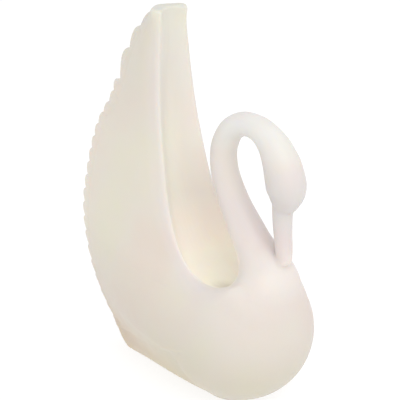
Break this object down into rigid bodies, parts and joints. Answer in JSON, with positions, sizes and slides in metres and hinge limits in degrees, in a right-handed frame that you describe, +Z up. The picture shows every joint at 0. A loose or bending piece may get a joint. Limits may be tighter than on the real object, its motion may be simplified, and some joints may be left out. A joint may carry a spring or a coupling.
{
  "type": "swan statuette",
  "caption": "Statuette of a resting swan with raised closed wings, a looped neck and its bill on its breast, on a flat underside.",
  "frame": {"origin": "middle of the length and width, at the flat underside", "axes": "+Z up, +X towards the breast and head, and the swan is alike on both sides of the XZ plane"},
  "size_m": [0.3282, 0.1536, 0.4],
  "materials": {
    "ivory": "satin cast resin"
  },
  "bodies": {
    "root": {"swan": "ivory"}
  },
  "joints": []
}
